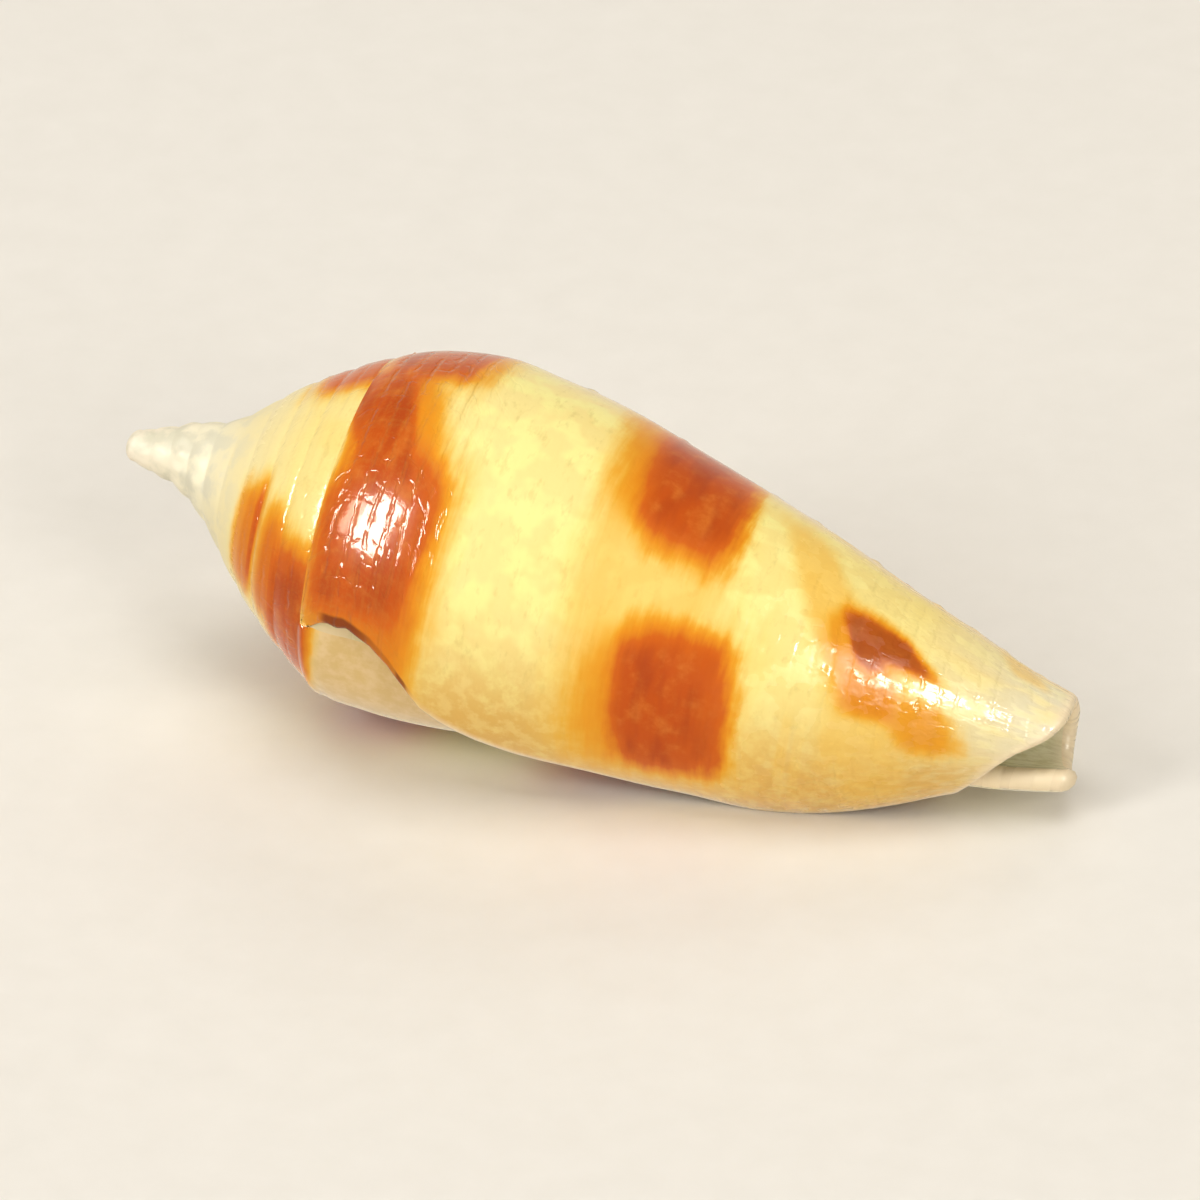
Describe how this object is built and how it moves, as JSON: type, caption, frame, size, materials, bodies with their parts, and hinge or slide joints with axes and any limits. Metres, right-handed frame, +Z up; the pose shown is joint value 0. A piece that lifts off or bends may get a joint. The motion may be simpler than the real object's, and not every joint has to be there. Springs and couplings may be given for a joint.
{
  "type": "mitred cone seashell",
  "caption": "Slender spindle-shaped cone shell with a tall concave spire, a narrow aperture slit along one side and an open canal at the front, cream with orange-brown blotches.",
  "frame": {"origin": "centre of the bounding box at its bottom, where the shell lies on a surface", "axes": "+X along the shell from the spire's tip to the front canal, +Z up, aperture side down"},
  "size_m": [0.0248, 0.0096, 0.0094],
  "materials": {
    "shell": "natural gloss, cream with orange-brown blotches in bands, white spire tip"
  },
  "bodies": {
    "root": {"shell": "shell"}
  },
  "joints": []
}
